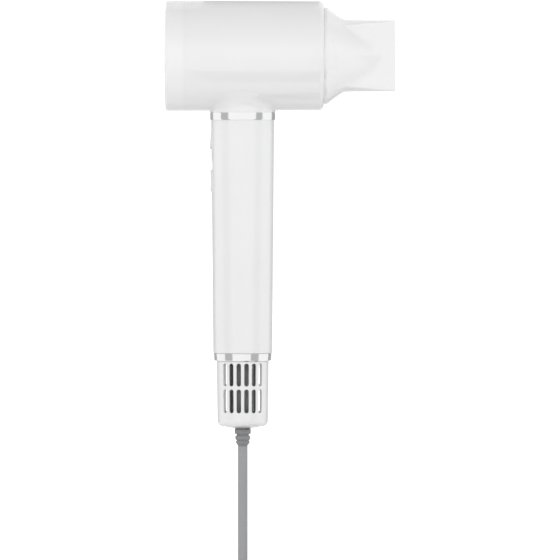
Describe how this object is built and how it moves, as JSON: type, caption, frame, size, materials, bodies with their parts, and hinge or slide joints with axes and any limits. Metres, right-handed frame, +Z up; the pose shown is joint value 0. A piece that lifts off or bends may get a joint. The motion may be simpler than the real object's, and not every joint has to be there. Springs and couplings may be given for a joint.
{
  "type": "hair dryer",
  "caption": "High-speed hair dryer: round white head with a flat magnetic nozzle, slim tapered handle with the fan inside, filter cage at the base, and a mains cord wound below",
  "frame": {"origin": "on the handle's axis, halfway up its sleeve, at the mount hand_grip that holds the part up", "axes": "+Z up the handle, +X the way that the air leaves the nozzle, +Y to the left of that"},
  "size_m": [0.1679, 0.1022, 0.4128],
  "materials": {
    "white_shell": "satin moulded plastic, white",
    "white_cover": "satin moulded plastic, white",
    "white_nozzle": "satin moulded plastic, white",
    "white_cage": "satin moulded plastic, white",
    "white_key": "smooth moulded plastic, white",
    "bright_ring": "polished bright metal",
    "dark_plastic": "matte moulded plastic, dark grey",
    "grey_ring": "heat-resistant plastic, pale grey",
    "mica": "mica board",
    "heater_wire": "resistance wire",
    "steel": "bare steel",
    "circuit_board": "coated circuit board",
    "red_plastic": "moulded plastic, red",
    "motor_alloy": "machined aluminium",
    "copper": "enamelled copper wire",
    "mesh": "woven fine wire mesh",
    "rubber_grey": "soft rubber, dark grey",
    "cord_grey": "flexible cord jacket, mid grey",
    "mount_rubber": "soft silicone rubber"
  },
  "bodies": {
    "root": {"head_shell": "white_shell", "rear_cover": "white_cover", "front_ring": "grey_ring", "dock_magnets": "steel", "outlet_grille": "dark_plastic", "air_duct": "mica", "heater_frame": "mica", "heater_wire": "heater_wire", "thermal_cutout": "steel", "power_board": "circuit_board", "ion_emitter": "dark_plastic", "handle_sleeve": "white_shell", "upper_ring": "bright_ring", "lower_ring": "bright_ring", "handle_frame": "dark_plastic", "control_board": "circuit_board", "board_screws": "steel", "push_switch": "dark_plastic", "slide_switch": "dark_plastic", "inner_leads": "red_plastic", "motor_mount": "mount_rubber", "motor_housing": "motor_alloy", "motor_stator": "steel", "motor_windings": "copper", "bearings": "steel", "inlet_frame": "dark_plastic", "cord_column": "grey_ring", "strain_relief": "rubber_grey", "cord": "cord_grey", "cord_coil": "cord_grey", "cord_tie": "rubber_grey", "plug_body": "rubber_grey", "plug_pins": "steel"},
    "nozzle_dock": {"nozzle_collar": "dark_plastic", "nozzle_magnets": "steel"},
    "nozzle": {"nozzle": "white_nozzle"},
    "filter": {"filter_cage": "white_cage", "filter_mesh": "mesh"},
    "push_button": {"push_button": "white_key", "switch_plunger": "red_plastic"},
    "slide_knob": {"slide_knob": "white_key", "slide_carrier": "red_plastic"},
    "rotor": {"impeller": "motor_alloy", "rotor_shaft": "steel", "rotor_magnet": "steel"}
  },
  "joints": [
    {"name": "nozzle_pull", "type": "slide", "parent": "root", "child": "nozzle_dock", "axis": [1, 0, 0], "range_m": [0, 0.035]},
    {"name": "nozzle_turn", "type": "hinge", "parent": "nozzle_dock", "child": "nozzle", "pos_m": [0.05415, 0, 0.12], "axis": [1, 0, 0], "continuous": true},
    {"name": "filter_pull", "type": "slide", "parent": "root", "child": "filter", "axis": [0, 0, -1], "range_m": [0, 0.05]},
    {"name": "button_press", "type": "slide", "parent": "root", "child": "push_button", "axis": [1, 0, 0], "range_m": [0, 0.001], "stiffness_N_per_m": 600},
    {"name": "knob_slide", "type": "slide", "parent": "root", "child": "slide_knob", "axis": [0, 0, 1], "range_m": [0, 0.006]},
    {"name": "fan_spin", "type": "hinge", "parent": "root", "child": "rotor", "pos_m": [0, 0, -0.065], "axis": [0, 0, 1], "continuous": true}
  ]
}
